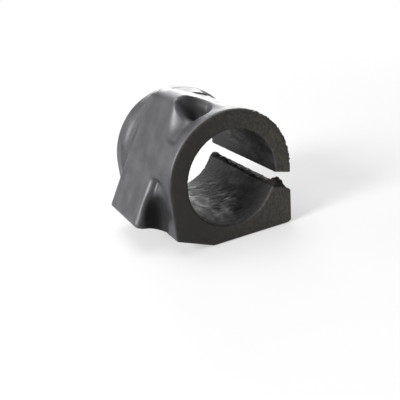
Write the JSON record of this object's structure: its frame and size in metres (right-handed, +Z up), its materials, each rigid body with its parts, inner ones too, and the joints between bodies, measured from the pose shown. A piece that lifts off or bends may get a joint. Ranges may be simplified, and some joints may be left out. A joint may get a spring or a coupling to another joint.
{
  "type": "sway bar bushing",
  "caption": "Split rubber bushing that holds a sway bar in a clamp: round bore, end collars, angular saddle and flat sole.",
  "frame": {"origin": "on the bore's axis, halfway along the bushing", "axes": "+Y along the bore, +Z up from the flat sole, +X towards the slit"},
  "size_m": [0.0479, 0.0382, 0.0416],
  "materials": {
    "rubber": "moulded black rubber, satin on the outside and rough in the bore"
  },
  "bodies": {
    "root": {"bushing": "rubber"}
  },
  "joints": []
}
